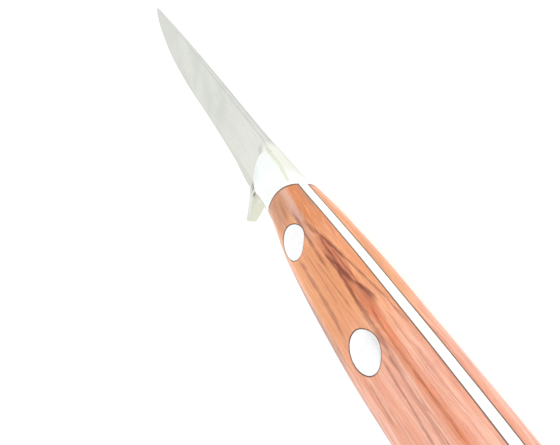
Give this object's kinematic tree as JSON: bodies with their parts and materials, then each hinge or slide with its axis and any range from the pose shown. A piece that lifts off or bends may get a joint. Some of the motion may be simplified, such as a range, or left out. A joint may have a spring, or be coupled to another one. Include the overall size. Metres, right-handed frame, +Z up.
{
  "type": "boning knife",
  "caption": "Forged boning knife: narrow straight blade with a finger guard and bolster, full tang between two rounded wooden scales held by flush cutlery rivets.",
  "frame": {"origin": "below the middle of the knife's bounding box, on the surface it lies on", "axes": "+X along the knife from the butt to the point, +Y from the spine to the cutting edge, +Z up through the thickness, from the right scale that it lies on to the left scale"},
  "size_m": [0.2556, 0.0252, 0.016],
  "materials": {
    "steel": "satin-ground high-carbon stainless blade, brighter polished bolster and tang edge",
    "wood": "orange-brown open-grained hardwood with long dark streaks, oiled and buffed to a low sheen",
    "rivet_metal": "pale polished metal, ground flush with the wood"
  },
  "bodies": {
    "root": {"blade_forging": "steel", "left_scale": "wood", "right_scale": "wood", "front_rivet_female": "rivet_metal", "front_rivet_male": "rivet_metal", "middle_rivet_female": "rivet_metal", "middle_rivet_male": "rivet_metal", "rear_rivet_female": "rivet_metal", "rear_rivet_male": "rivet_metal"}
  },
  "joints": []
}
